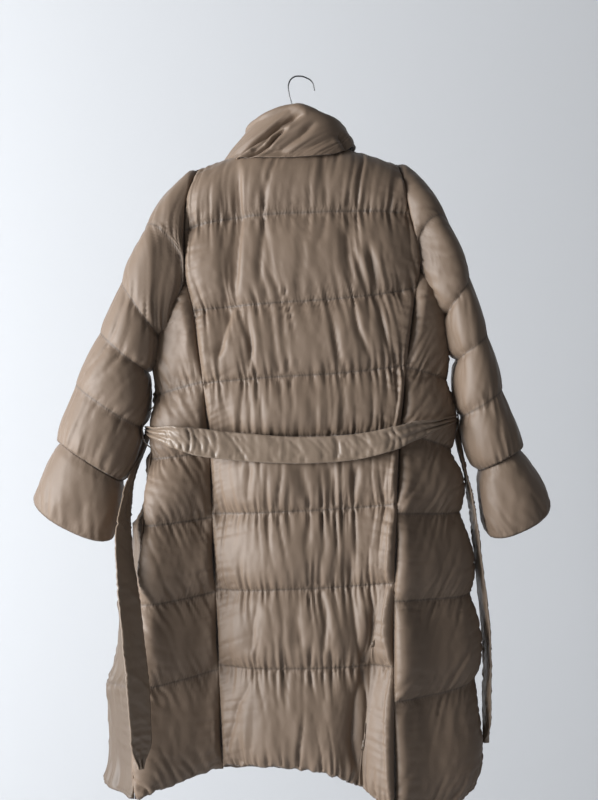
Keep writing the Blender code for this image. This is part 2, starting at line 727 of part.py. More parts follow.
SHOULDER_ENDS = (-179.0, -168.0)
panel("back_center", left_back, right_back, SHOULDER_ENDS, BACK_ROWS, 13, 4)
panel("back_side_left", left_side, left_back, (LEFT_PRINCESS_TOP_Z, LEFT_PRINCESS_TOP_Z),
      LEFT_SIDE_ROWS, 6, 4)
panel("back_side_right", right_back, right_side, (RIGHT_PRINCESS_TOP_Z, RIGHT_PRINCESS_TOP_Z),
      RIGHT_SIDE_ROWS, 6, 4)
panel("front_left", left_front_edge, left_overlap, (-179.0, -150.0), LEFT_FRONT_ROWS, 12, 3,
      front=True)
panel("front_right", right_front_edge, right_overlap, (-168.0, -150.0), RIGHT_FRONT_ROWS, 12, 3,
      front=True, lift=front_layer)
sleeve("sleeve_left", "left", LEFT_SLEEVE, 16, 3)
sleeve("sleeve_right", "right", RIGHT_SLEEVE, 16, 3)
cuff("cuff_left", LEFT_SLEEVE[-1], LEFT_CUFF_END, 16, 4)
cuff("cuff_right", RIGHT_SLEEVE[-1], RIGHT_CUFF_END, 16, 4)
collar()
belt()
belt_loop("belt_loop_left", "left", -618, -694, 19)
belt_loop("belt_loop_right", "right", -598, -674, 15)
wire("hanger_hook", HOOK_PATH)
wire("hanger_frame", FRAME_PATH, closed=True)
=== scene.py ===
# %% [markdown]
# # A long puffer coat, hung up with its back towards us
#
# The coat is sewn from padded panels. Each panel is two layers of thin nylon with down between
# them, stitched across in rows, so every baffle swells up and its cloth gathers along the
# stitching. This lesson loads the measured model of the coat, then remakes each panel as soft
# padded cloth in the same place.

# %% Load the measured model
import math

import bpy
import numpy as np
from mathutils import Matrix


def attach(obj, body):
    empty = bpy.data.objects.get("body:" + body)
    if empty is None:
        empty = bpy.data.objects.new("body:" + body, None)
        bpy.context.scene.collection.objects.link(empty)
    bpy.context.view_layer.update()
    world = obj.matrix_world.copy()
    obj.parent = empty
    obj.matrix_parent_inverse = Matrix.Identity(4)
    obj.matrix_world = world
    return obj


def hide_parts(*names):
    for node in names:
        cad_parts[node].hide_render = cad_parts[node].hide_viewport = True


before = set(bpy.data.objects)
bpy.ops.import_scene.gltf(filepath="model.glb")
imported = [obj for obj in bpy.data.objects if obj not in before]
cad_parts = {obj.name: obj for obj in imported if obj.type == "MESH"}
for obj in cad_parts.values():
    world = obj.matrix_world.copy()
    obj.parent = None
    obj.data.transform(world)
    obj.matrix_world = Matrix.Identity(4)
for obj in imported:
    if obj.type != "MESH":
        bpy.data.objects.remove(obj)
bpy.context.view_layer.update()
for loaded in bpy.context.selected_objects:
    loaded.select_set(False)
MM = 0.001
print("pieces to dress:", sorted(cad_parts))

# %% [markdown]
# ## The shape the coat hangs in
#
# The body is one closed form: an oval section at each height, pinched flat along the shoulders,
# with a few large folds in the back. Every panel is laid on this form between its two seams.
# The tables below are the pattern's own sizes in millimetres, measured from the hook.

# %% Sizes of the body
# height, left edge, right edge, depth of the back, depth of the front
SECTIONS = np.array([
    (-100, -232, 218, 52, 36), (-265, -243, 233, 66, 44), (-413, -249, 256, 76, 50),
    (-474, -254, 266, 80, 52), (-575, -268, 275, 84, 55), (-660, -272, 277, 84, 56),
    (-755, -288, 290, 88, 60), (-865, -314, 306, 92, 65), (-965, -334, 319, 95, 70),
    (-1090, -352, 327, 98, 74), (-1200, -362, 327, 100, 77), (-1380, -362, 326, 102, 80),
], float)
# x and z where a fold starts, x and z where it ends, half width, depth, length of its fade
FOLDS = [
    (-166, -560, -141, -1500, 52, 38, 180),     # valley along the left princess seam
    (-280, -690, -288, -1500, 42, -34, 200),    # ridge of the left side
    (180, -640, 170, -1500, 40, -28, 220),      # ridge along the right princess seam
    (158, -880, 84, -1500, 26, 20, 160),        # deep fold above the hem
    (-118, -190, -134, -470, 26, 9, 90),        # hollow beside the shoulder blade
]
# height, left armhole, left princess seam, right princess seam, right armhole
SEAMS = np.array([
    (-179, -192, -192, 185, 185), (-240, -212, -211, 199, 199), (-300, -216, -214, 214, 214),
    (-363, -214, -212, 222, 224), (-383, -214, -211, 218, 234), (-431, -231, -198, 208, 260),
    (-474, -256, -191, 202, 276), (-575, -274, -177, 191, 280), (-660, -271, -168, 182, 280),
    (-755, -276, -163, 176, 290), (-865, -286, -160, 172, 306), (-975, -291, -154, 168, 318),
    (-1125, -290, -148, 168, 325), (-1280, -286, -141, 169, 325), (-1420, -284, -138, 170, 325),
], float)
# height, then how far round each side seam has moved towards the back, in radians
SIDE_SEAMS = np.array([
    (-431, 0, 0), (-520, 0, 0.02), (-600, 0.05, 0.03), (-660, 0.14, 0.04), (-755, 0.30, 0.05),
    (-865, 0.47, 0.06), (-975, 0.58, 0.07), (-1125, 0.66, 0.07), (-1420, 0.70, 0.08),
])
ARMHOLE_ENDS = {"left": (-179.0, -474.0), "right": (-168.0, -431.0)}
NECK = (-98.0, 76.0)            # where the shoulder seams reach the neckline
SHOULDER_TOP = (-8.0, -112.0)   # where the two shoulder lines would meet
BACK_SCOOP, FRONT_SCOOP = 9.0, 84.0   # how deep the neckline is cut
SHOULDER_ROUND = 85.0


def smooth(t):
    t = np.clip(t, 0.0, 1.0)
    return t * t * (3.0 - 2.0 * t)


def column(table, index, z, reach=0.0):
    """A column of a table read at heights z, eased over a little reach up and down."""
    rows = -table[:, 0]
    return sum(np.interp(-z + r, rows, table[:, index]) for r in (-reach, 0.0, reach)) / 3.0


def shoulder_z(x):
    slope = np.where(x < SHOULDER_TOP[0], 0.364, 0.290)
    return SHOULDER_TOP[1] - slope * np.abs(x - SHOULDER_TOP[0])


def large_folds(x, z):
    total = np.zeros_like(x)
    for x_top, z_top, x_low, z_low, half_width, depth, fade in FOLDS:
        middle = x_top + (x_low - x_top) * (z_top - z) / (z_top - z_low)
        share = smooth((z_top - z) / fade) * smooth((z - z_low) / fade + 0.5)
        total += depth * share * np.exp(-((x - middle) / half_width) ** 2)
    return total


def body_point(angle, z):
    """Points of the stitched form: angle 0 is the left edge, pi/2 the middle of the back."""
    left, right, back, front = (column(SECTIONS, i, z, 45.0) for i in (1, 2, 3, 4))
    across, out = np.cos(angle), np.sin(angle)
    x = (left + right) / 2 - (right - left) / 2 * np.sign(across) * np.abs(across) ** 0.8
    drop = np.clip((shoulder_z(x) - z) / SHOULDER_ROUND, 0.0, 1.0)
    reach = np.abs(out) ** 0.8 * np.sqrt(1.0 - (1.0 - drop) ** 2)
    y_back = -back * reach + large_folds(x, z) * np.minimum(reach * 1.6, 1.0)
    return np.stack([x, np.where(out >= 0, y_back, front * reach), z], axis=-1)


def angle_at(x, z):
    left, right = column(SECTIONS, 1, z, 45.0), column(SECTIONS, 2, z, 45.0)
    t = np.clip(((left + right) / 2 - x) / ((right - left) / 2), -1.0, 1.0)
    return np.arccos(np.sign(t) * np.abs(t) ** 1.25)


def armhole_angle(side, z):
    return angle_at(column(SEAMS, 1 if side == "left" else 4, z, 12.0), z)


def princess_angle(side, z):
    return angle_at(column(SEAMS, 2 if side == "left" else 3, z, 12.0), z)


def side_angle(side, z, front=False):
    """The side edge of a panel: the armhole, and under it the side seam."""
    arm = armhole_angle(side, z)
    arm = np.where(arm > 0, -arm, arm) if front else arm
    turn = column(SIDE_SEAMS, 1 if side == "left" else 2, z, 20.0)
    low = turn if side == "left" else math.pi - turn
    if front and side == "right":
        arm = arm + 2 * math.pi
    return np.where(z > ARMHOLE_ENDS[side][1], arm, low)


def neckline_z(x, front):
    middle, half = (NECK[0] + NECK[1]) / 2, (NECK[1] - NECK[0]) / 2
    s = np.clip((x - middle) / half, -1.0, 1.0)
    ends = shoulder_z(np.array(NECK))
    straight = ends[0] + (ends[1] - ends[0]) * (s + 1) / 2
    scoop = straight - (FRONT_SCOOP if front else BACK_SCOOP) * (1 - s * s)
    inside = (x > NECK[0]) & (x < NECK[1])
    return np.where(inside, np.minimum(scoop, shoulder_z(x)), shoulder_z(x)) - 0.001


# %% [markdown]
# ## How puffed cloth wrinkles
#
# A sewing line pulls cloth together, so short puckers stand square to it and fade as the baffle
# swells. Some of them run on as long soft creases. Both are made here as height maps over the
# cloth: a valley with a sharp bottom between rounded ridges, at uneven distances. A seeded
# lattice of random numbers keeps every run of this script the same.

# %% Random waves and puckers
def lattice(seed):
    return np.random.default_rng(seed).random((64, 64))


def waves(a, b, seed):
    """Smooth random waves between -1 and 1 over two coordinates whose unit is one wave."""
    table = lattice(seed)
    i, j = np.floor(a).astype(int), np.floor(b).astype(int)
    f, g = smooth(a - i), smooth(b - j)
    corners = [table[(i + p) % 64, (j + q) % 64] for p in (0, 1) for q in (0, 1)]
    low = corners[0] * (1 - g) + corners[1] * g
    high = corners[2] * (1 - g) + corners[3] * g
    return (low * (1 - f) + high * f) * 2.0 - 1.0


def per_pucker(index, seed, low, high):
    """One random number for each pucker of a row."""
    table = np.random.default_rng(seed).random(512)
    return low + (high - low) * table[np.asarray(index, int) % 512]


def gather(along, off, seed, lean=0.0):
    """Cloth gathered on to a sewing line. Along is the way down the line and off the distance
    from it. Close to the line the puckers are short and sharp, and further off they run
    together into fewer and wider folds."""
    drift = 5.0 * waves(along / 38, off / 130, seed) + 1.8 * waves(along / 12, off / 70, seed + 1)
    total = 0.0
    for level, (spacing, depth, start, end, sharp) in enumerate(GATHERS):
        phase = (along + drift * (1 + level * 0.7) + lean * off) / spacing
        index = np.round(phase)
        deep = depth * per_pucker(index, seed + 5 + level, 0.35, 1.0) ** 2
        reach = end * per_pucker(index, seed + 15 + level, 0.45, 1.35)
        share = smooth((off - start) / (0.6 * start + 3)) * np.exp(-(off / reach) ** 2)
        total = total - deep * share * (1 - np.abs(np.sin(math.pi * phase)) ** sharp)
    return total


# spacing of the puckers, their depth, where they start and end, how wide their bottom is
GATHERS = [(8.5, 3.0, -4.0, 14.0, 1.2), (13.0, 5.4, 0.0, 34.0, 0.9), (23.0, 6.2, 4.0, 62.0, 0.5)]


def beside(x, z, path):
    """Distance from a drawn line, positive on its right going down, and how far along it."""
    best, side, share = np.full(x.shape, 1e9), np.zeros(x.shape), np.zeros(x.shape)
    whole = sum(math.dist(a, b) for a, b in zip(path, path[1:]))
    run = 0.0
    for (x0, z0), (x1, z1) in zip(path, path[1:]):
        dx, dz, long = x1 - x0, z1 - z0, math.dist((x0, z0), (x1, z1))
        s = np.clip(((x - x0) * dx + (z - z0) * dz) / long ** 2, 0, 1)
        across, up = x - x0 - s * dx, z - z0 - s * dz
        far = np.hypot(across, up)
        near = far < best
        best = np.where(near, far, best)
        side = np.where(near, np.sign(dx * up - dz * across), side)
        share = np.where(near, (run + s * long) / whole, share)
        run += long
    return best * side, share


def creases(points, lines):
    """Folds drawn one by one: a path of x and z, the width of its left and right slope and its
    depth. The bottom of each is sharp, and the cloth beside it rises a little."""
    x, z = points[..., 0], points[..., 2]
    total = np.zeros(x.shape)
    for path, left_slope, right_slope, depth in lines:
        signed, along = beside(x, z, path)
        slope = np.where(signed < 0, left_slope, right_slope)
        far = np.abs(signed) / slope
        fade = smooth(along / 0.22) * smooth((1 - along) / 0.22)
        total += fade * depth * (0.15 * np.exp(-((far - 2.2) / 1.3) ** 2) - np.exp(-far))
    return total


# %% [markdown]
# ## Laying a grid on the form
#
# A flat grid is the natural start for a cut panel: its columns run between the two seams and its
# rows follow the stitch lines. The grid is added as a primitive, and its points are then moved
# on to the form. Every row keeps its stitch line exactly, because that line is what stays put
# when the padding swells.

# %% A cut panel
def grid_object(name, rows, columns):
    """A flat grid and the order of its points, row by row from the top."""
    bpy.ops.mesh.primitive_grid_add(x_subdivisions=columns, y_subdivisions=rows, size=1.0)
    piece = bpy.context.object
    piece.name = piece.data.name = name
    flat = np.empty(len(piece.data.vertices) * 3, np.float32)
    piece.data.vertices.foreach_get("co", flat)
    flat = flat.reshape(-1, 3)
    order = np.lexsort((np.round(flat[:, 0], 6), -np.round(flat[:, 1], 6)))
    assert len(order) == (rows + 1) * (columns + 1)
    return piece, order


def write_points(piece, order, points):
    moved = np.empty((len(order), 3), np.float32)
    moved[order] = points.reshape(-1, 3) * MM
    piece.data.vertices.foreach_set("co", moved.ravel())
    piece.data.update()


def write_uv(piece, order, across, down):
    """Puts the cloth's own millimetres on the piece, as metres on its UV map."""
    flat = np.empty((len(order), 2), np.float32)
    flat[order] = np.stack([across.ravel(), down.ravel()], axis=-1) * MM
    corners = np.empty(len(piece.data.loops), np.int32)
    piece.data.loops.foreach_get("vertex_index", corners)
    piece.data.uv_layers.active.data.foreach_set("uv", flat[corners].ravel())


def write_mark(piece, order, name, values):
    """A number for each point of the cloth, such as how close it is to its stitching."""
    flat = np.empty(len(order), np.float32)
    flat[order] = values.ravel()
    layer = piece.data.attributes.new(name, "FLOAT", "POINT")
    layer.data.foreach_set("value", flat)


def normals_of(points, wrap=False):
    """Outward directions of a laid grid, from its neighbours down and across."""
    down = np.gradient(points, axis=0)
    if wrap:
        ring = np.concatenate([points[:, -2:-1], points, points[:, 1:2]], axis=1)
        across = (ring[:, 2:] - ring[:, :-2]) / 2
    else:
        across = np.gradient(points, axis=1)
    out = np.cross(down, across)
    return out / np.maximum(np.linalg.norm(out, axis=-1, keepdims=True), 1e-9)


def arc(points, axis):
    """Length along the cloth from its first row or column."""
    steps = np.linalg.norm(np.diff(points, axis=axis), axis=-1)
    return np.insert(np.cumsum(steps, axis=axis), 0, 0.0, axis=axis)


def lay_panel(left, right, top, rows, step, front=False, lift=None):
    """Lays a panel on the form. Returns its points and, for each, which baffle it is in, how far
    down that baffle, the baffle's height and the millimetres across and down the cloth."""
    lines = [(*top, 0.0), *rows]
    share, baffle = [], []
    for k, (upper, lower) in enumerate(zip(lines, lines[1:])):
        tall = abs(upper[0] + upper[1] - lower[0] - lower[1]) / 2
        count = max(int(round(tall / step)), 4)
        last = k == len(lines) - 2
        share += [i / count for i in range(count + last)]
        baffle += [k] * (count + last)
    t, k = np.array(share)[:, None], np.array(baffle)[:, None]
    table = np.array(lines, float)
    upper, lower = table[k[:, 0]], table[k[:, 0] + 1]
    fall = np.where(k == 0, t ** 1.5, t)
    left_z = upper[:, :1] + (lower[:, :1] - upper[:, :1]) * fall
    right_z = upper[:, 1:2] + (lower[:, 1:2] - upper[:, 1:2]) * fall
    wide = abs(body_point(right(right_z), right_z)[..., 0]
               - body_point(left(left_z), left_z)[..., 0]).max()
    u = np.linspace(0, 1, max(int(wide * 1.12 / step), 6) + 1)[None, :]
    bow = 4 * u * (1 - u)
    upper_z = upper[:, :1] + (upper[:, 1:2] - upper[:, :1]) * u - upper[:, 2:] * bow
    lower_z = lower[:, :1] + (lower[:, 1:2] - lower[:, :1]) * u - lower[:, 2:] * bow
    if top[0] > -200:
        first = left(np.array(float(top[0]))), right(np.array(float(top[1])))
        across = body_point(first[0] + (first[1] - first[0]) * u, upper_z[:1])[..., 0]
        upper_z = np.where(k == 0, neckline_z(across, front), upper_z)
    z = upper_z + (lower_z - upper_z) * fall
    angle = left(left_z) + (right(right_z) - left(left_z)) * u
    points = body_point(angle, z)
    if lift:
        points = points + normals_of(points) * lift(points)[..., None]
    return {"points": points, "baffle": k + 0 * u, "t": t + 0 * u,
            "tall": np.abs(upper_z - lower_z), "across": arc(points, 1), "down": arc(points, 0)}


# %% [markdown]
# ## Filling the panel
#
# Down pushes the cloth out between its stitch lines, most in the middle of a baffle and less
# beside a seam. The puckers and creases are taken off that height. The result is the panel's
# outside; the Solidify modifier then gives it its lining, so the wall is closed all round.

# %% Fill and line a panel
def pinch(distance, edge):
    """How much of its height the padding has at a distance from a seam."""
    return np.sin(0.5 * math.pi * np.clip(distance / edge, 0, 1)) ** 0.7


def fill_height(cut, seed, plump=12.0, gathers=1.0, lean=0.0, slack=1.7,
                left_edge=16.0, right_edge=16.0, seams=1.0, drawn=(), sag=1.3):
    """Height of the cloth over its stitched shape, in millimetres."""
    t, k, tall = np.clip(cut["t"], 0, 1), cut["baffle"], cut["tall"]
    across, down = cut["across"], cut["down"]
    width = across[:, -1:]
    last = (k == k.max()) & (k.max() > 3)
    swell = np.sin(math.pi * t ** np.where(last, sag + 0.6, sag)) ** np.where(last, 0.5, 0.6)
    near_seam = pinch(across, left_edge) * pinch(width - across, right_edge)
    uneven = 1.0 + 0.2 * waves(across / 70, k * 3.7 + t * 1.3, seed + 40)
    height = plump * swell * near_seam * uneven
    height += slack * swell * near_seam * waves(across / 38, down / 95, seed + 41)
    for line in range(int(k.max()) + 2):
        above, below = k == line - 1, k == line
        off = np.where(above, (1 - t) * tall, np.where(below, t * tall, 1e3))
        strong = gathers * (0.5 if line == 0 else 1.5 if line > k.max() else 1.0)
        slant = np.where(above, lean, -lean)
        height += strong * gather(across, off, seed + 31 * line, slant) * near_seam ** 0.3
    for far, number in ((across, 1), (width - across, 2)):
        height += 0.55 * seams * gather(down, far, seed + 300 * number)
    height += 0.5 * waves(across / 7.5, down / 17, seed + 60) * near_seam
    height += 0.9 * waves(across / 15, down / 60, seed + 61) * near_seam
    return height + creases(cut["points"], drawn) * (0.25 + 0.75 * swell)


def dress(piece, node, material, inner=None, thick=4.0):
    """Closes the piece with its lining, smooths it and puts it in its place in the coat."""
    wall = piece.modifiers.new("lining", "SOLIDIFY")
    wall.thickness = thick * MM
    wall.offset = -1.0
    wall.use_even_offset = False
    piece.data.materials.append(material)
    if inner:
        piece.data.materials.append(inner)
        wall.material_offset = 1
    bpy.ops.object.select_all(action="DESELECT")
    piece.select_set(True)
    bpy.context.view_layer.objects.active = piece
    bpy.ops.object.modifier_apply(modifier=wall.name)
    bpy.ops.object.shade_smooth()
    piece.select_set(False)
    if node:
        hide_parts(node)
    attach(piece, "root")
    print(piece.name, len(piece.data.polygons), "faces")


def sew_panel(name, node, cut, height, material, inner, thick=4.0):
    points, out = cut["points"].copy(), normals_of(cut["points"])
    rows, columns = points.shape[0] - 1, points.shape[1] - 1
    # The hem's own gathers pull its edge up and down by a few millimetres.
    hem = (cut["baffle"] == cut["baffle"].max()) * smooth((cut["t"] - 0.75) / 0.25)
    points[..., 2] += 3.0 * waves(cut["across"] / 11, cut["across"] / 40, rows) * hem
    piece, order = grid_object(name, rows, columns)
    write_points(piece, order, points + out * height[..., None])
    write_uv(piece, order, cut["across"], cut["down"])
    line = np.minimum(cut["t"], 1 - cut["t"]) * cut["tall"]
    write_mark(piece, order, "stitching", np.exp(-line / 6.0))
    dress(piece, node, material, inner, thick)
    return piece


# %% [markdown]
# ## Materials
#
# The shell is downproof nylon taffeta: a very fine, tight weave that was pressed hot, so it has
# a soft satin shine and holds tiny crinkles. The colour is a warm grey brown. Colours are given
# as the hex codes that a picture editor shows, and one function turns them to linear light.

# %% Colours and the node helper
def linear(code, alpha=1.0):
    parts = [int(code[i:i + 2], 16) / 255 for i in (1, 3, 5)]
    curve = [c / 12.92 if c <= 0.04045 else ((c + 0.055) / 1.055) ** 2.4 for c in parts]
    return (*curve, alpha)


def add_node(tree, kind, settings=(), links=()):
    """Adds a node, sets it up and wires its inputs. Numbers address sockets by position."""
    node = tree.nodes.new(kind)
    for key, value in dict(settings).items():
        if isinstance(key, int) or key in node.inputs:
            node.inputs[key].default_value = value
        else:
            setattr(node, key, value)
    for socket, source in dict(links).items():
        tree.links.new(source, node.inputs[socket])
    return node


def bare_material(name):
    made = bpy.data.materials.new(name)
    made.use_nodes = True
    return made, made.node_tree, made.node_tree.nodes["Principled BSDF"]


# %% Nylon taffeta
def nylon_taffeta(name, light, deep, roughness=0.58):
    made, tree, shader = bare_material(name)
    place = add_node(tree, "ShaderNodeTexCoord")
    # The dye takes a little unevenly over a hand's breadth, about 8 cm.
    clouds = add_node(tree, "ShaderNodeTexNoise", {"Scale": 12.0, "Detail": 3.0},
                      {"Vector": place.outputs["Object"]})
    tone = add_node(tree, "ShaderNodeMix", {"data_type": "RGBA", 6: linear(light), 7: linear(deep)},
                    {0: clouds.outputs["Fac"]})
    mark = add_node(tree, "ShaderNodeAttribute", {"attribute_name": "stitching"})
    dust_and_shade_at_stitching = add_node(tree, "ShaderNodeMath", {"operation": "POWER", 1: 4.0},
                    {0: mark.outputs["Fac"]})
    # Along the stitching the colour darkens towards #584A3E: painted shade in the stitch valleys, and
    # partly dust caught there.
    seam = add_node(tree, "ShaderNodeMix", {"data_type": "RGBA", 7: linear("#584A3E")},
                    {0: dust_and_shade_at_stitching.outputs[0], 6: tone.outputs[2]})
    tree.links.new(seam.outputs[2], shader.inputs["Base Color"])
    # Crinkles of 3 to 5 mm that the pressed cloth keeps, and the weave drawn at 1.2 mm, ten
    # times its real size, because the true threads are too fine to show.
    crinkle = add_node(tree, "ShaderNodeTexNoise", {"Scale": 230.0, "Detail": 4.0, "Roughness": 0.6},
                       {"Vector": place.outputs["Object"]})
    weave = add_node(tree, "ShaderNodeTexWave", {"Scale": 260.0, "bands_direction": "DIAGONAL"},
                     {"Vector": place.outputs["UV"]})
    fine = add_node(tree, "ShaderNodeBump", {"Strength": 0.06, "Distance": 0.0002},
                    {"Height": weave.outputs["Fac"]})
    rough = add_node(tree, "ShaderNodeBump", {"Strength": 0.22, "Distance": 0.0008},
                     {"Height": crinkle.outputs["Fac"], "Normal": fine.outputs["Normal"]})
    # The smallest puckers, 6 mm apart, only along the stitching.
    tucks = add_node(tree, "ShaderNodeTexWave", {"Scale": 48.0, "Distortion": 7.0,
                                                 "Detail": 1.0, "Detail Scale": 1.5},
                     {"Vector": place.outputs["UV"]})
    near = add_node(tree, "ShaderNodeMath", {"operation": "MULTIPLY"},
                    {0: tucks.outputs["Fac"], 1: mark.outputs["Fac"]})
    rough = add_node(tree, "ShaderNodeBump", {"Strength": 0.3, "Distance": 0.0012},
                     {"Height": near.outputs[0], "Normal": rough.outputs["Normal"]})
    tree.links.new(rough.outputs["Normal"], shader.inputs["Normal"])
    shader.inputs["Roughness"].default_value = roughness
    shader.inputs["IOR"].default_value = 1.53
    shader.inputs["Sheen Weight"].default_value = 0.1
    shader.inputs["Sheen Roughness"].default_value = 0.4
    return made


shell = nylon_taffeta("shell nylon taffeta", "#7A6756", "#6E5C4C")
lining = nylon_taffeta("lining nylon taffeta", "#645546", "#5A4B3E", 0.55)
belt_cloth = nylon_taffeta("belt nylon taffeta", "#827161", "#786757", 0.42)

# %% [markdown]
# ## The five panels of the body
#
# The wide centre back, a back side panel on each side, and the two fronts that wrap round from
# the side seams. Each is cut from the form by its two seams and stitched at its own heights, so
# the rows do not meet exactly at the seams, as on the real coat.

# %% Centre back
BACK_ROWS = [(-292, -262, -14), (-441, -398, 4), (-574, -541, 2), (-676, -662, 0),
             (-814, -792, 2), (-953, -934, 2), (-1091, -1083, 2), (-1276, -1356, -38)]
back = lay_panel(lambda z: princess_angle("left", z), lambda z: princess_angle("right", z),
                 (-179.0, -168.0), BACK_ROWS, 3.4)
# the path of each fold in x and z, the width of its left and right slope, its depth
BACK_CREASES = [
    ([(-109, -167), (-107, -297), (-112, -427)], 26, 4, 11),  # beside the shoulder blade
    ([(-69, -179), (-67, -288), (-74, -409)], 7, 4, 5),  # second fold of the yoke
    ([(-120, -429), (-134, -487), (-150, -538)], 14, 4, 8),  # left slant
    ([(-98, -429), (-87, -505), (-92, -565)], 10, 4, 8),  # left of the middle
    ([(81, -283), (87, -348), (100, -409)], 8, 4, 7),  # right of the middle
    ([(94, -225), (96, -333), (119, -406)], 7, 4, 6),  # under the right shoulder
    ([(119, -306), (138, -400), (147, -464), (163, -533)], 6, 4, 9),  # long right crease
    ([(91, -420), (105, -478), (127, -533)], 6, 4, 6),  # its neighbour
    ([(54, -431), (62, -496), (72, -551)], 6, 4, 5),  # low neighbour
    ([(0, -288), (4, -355), (-2, -417)], 6, 4, 5),  # middle row
    ([(-85, -717), (-89, -753), (-92, -793)], 8, 6, 5),  # under the belt 1
    ([(0, -717), (5, -757), (7, -790)], 8, 6, 4),  # under the belt 2
    ([(54, -717), (56, -757), (62, -801)], 8, 6, 5),  # under the belt 3
    ([(105, -717), (94, -768), (91, -822)], 8, 6, 6),  # under the belt 4
    ([(156, -717), (152, -786), (145, -895)], 9, 6, 6),  # waist right
    ([(-76, -967), (-80, -1007), (-83, -1067)], 9, 6, 6),  # skirt left 1
    ([(0, -949), (-5, -1000), (5, -1058)], 9, 6, 5),  # skirt middle
    ([(40, -940), (47, -989), (43, -1067)], 9, 6, 6),  # skirt right
    ([(91, -868), (94, -949), (101, -1040), (112, -1096)], 16, 7, 12),  # valley of the skirt
    ([(130, -973), (123, -1040), (112, -1096)], 8, 6, 8),  # its branch
    ([(112, -1096), (98, -1148), (91, -1217), (98, -1279)], 18, 5, 15),  # fold over the hem
    ([(-109, -1148), (-112, -1188), (-130, -1248)], 8, 8, 6),  # hem left 1
    ([(-80, -1090), (-94, -1130), (-116, -1177)], 8, 7, 6),  # hem left 2
]
back_height = fill_height(back, 11, plump=17.5, gathers=1.3, left_edge=16.0, right_edge=12.0,
                          drawn=BACK_CREASES)
# The flat ridge where the right princess seam is topstitched.
ridge = back["across"][:, -1:] - back["across"]
raised = 3.5 * np.exp(-((ridge - 8) / 7) ** 4) - 1.6 * np.exp(-((ridge - 15) / 1.6) ** 2)
back_height += raised * smooth((-500 - back["points"][..., 2]) / 80)
sew_panel("back_center_puffed", "back_center", back, back_height, shell, lining)

# %% Back side panels
LEFT_SIDE_ROWS = [(-600, -572, 3), (-714, -700, 3), (-834, -821, 3), (-975, -957, 5),
                  (-1125, -1099, 5), (-1325, -1279, 0)]
left_cut = lay_panel(lambda z: side_angle("left", z), lambda z: princess_angle("left", z),
                     (-383.0, -383.0), LEFT_SIDE_ROWS, 3.6)
left_height = fill_height(left_cut, 23, plump=17.0, lean=0.5, left_edge=12.0)
sew_panel("back_side_left_puffed", "back_side_left", left_cut, left_height, shell, lining)

RIGHT_SIDE_ROWS = [(-545, -569, 3), (-664, -700, 3), (-809, -812, 3), (-966, -962, 3),
                   (-1146, -1116, 4), (-1360, -1308, 12)]
right_cut = lay_panel(lambda z: princess_angle("right", z), lambda z: side_angle("right", z),
                      (-363.0, -363.0), RIGHT_SIDE_ROWS, 3.6)
right_height = fill_height(right_cut, 37, plump=17.0, lean=-0.5, right_edge=12.0)
sew_panel("back_side_right_puffed", "back_side_right", right_cut, right_height, shell, lining)

# %% Fronts
OVERLAP = 0.08       # each front passes the middle by this angle, 30 to 46 mm
FRONT_LAYER = 24.0   # the right front stands this far off the left one
LEFT_FRONT_ROWS = [(-292, -270, 4), (-452, -415, 4), (-600, -560, 4), (-714, -700, 4),
                   (-834, -830, 4), (-975, -975, 4), (-1125, -1130, 4), (-1325, -1315, -8)]
RIGHT_FRONT_ROWS = [(-292, -270, 4), (-425, -415, 4), (-569, -560, 4), (-700, -700, 4),
                    (-812, -830, 4), (-962, -975, 4), (-1116, -1130, 4), (-1308, -1312, 14)]


def front_layer(points):
    """How far the right front stands off at a place, to lap over the left one."""
    return FRONT_LAYER * smooth((110 - points[..., 0]) / 70) * smooth((-180 - points[..., 2]) / 26)


left_front = lay_panel(lambda z: side_angle("left", z, True),
                       lambda z: 0 * z - 0.5 * math.pi - OVERLAP, (-179.0, -150.0),
                       LEFT_FRONT_ROWS, 4.4, front=True)
height = fill_height(left_front, 51, plump=12.0, gathers=1.2, left_edge=12.0)
sew_panel("front_left_puffed", "front_left", left_front, height, shell, lining)
right_front = lay_panel(lambda z: side_angle("right", z, True),
                        lambda z: 0 * z + 1.5 * math.pi + OVERLAP, (-168.0, -150.0),
                        RIGHT_FRONT_ROWS, 4.4, front=True, lift=front_layer)
height = fill_height(right_front, 67, plump=12.0, gathers=0.8, left_edge=12.0)
sew_panel("front_right_puffed", "front_right", right_front, height, shell, lining)

# %% [markdown]
# ## Sleeves and cuffs
#
# A sleeve is one tube. Its head leaves the armhole, turns downwards and meets the first ring of
# stitching. Below that each baffle runs from ring to ring. The grid starts and ends at the
# sleeve seam on the inner side, and its two edges are merged there.

# %% Rings of the sleeves
# outer end x, z, inner end x, z, half of the depth
LEFT_SLEEVE = np.array([(-323, -388, -270, -486, 58), (-363, -482, -296, -550, 61),
                        (-408, -579, -306, -655, 63), (-444, -681, -330, -756, 63)], float)
RIGHT_SLEEVE = np.array([(305, -378, 280, -446, 54), (338, -484, 304, -528, 59),
                         (366, -586, 312, -634, 62), (406, -694, 334, -736, 62)], float)
SLEEVE_MIDDLE_Y = -6.0
CUFF_DROOP = 22.0    # the back of a cuff hangs this far below its ends
HEAD_LINE_TOP = 0.56  # where the sleeve head is stitched across, from the armhole down
HEAD_LINE_REACH = {"left": 1.82, "right": 1.77}  # how far round it runs, in radians
SLEEVE_ROUND, CUFF_ROUND = 430, 440  # lengths that set the number of columns
LEFT_CUFF_END = np.array((-494, -788, -350, -858, 56), float)
RIGHT_CUFF_END = np.array((464, -799, 350, -850, 54), float)


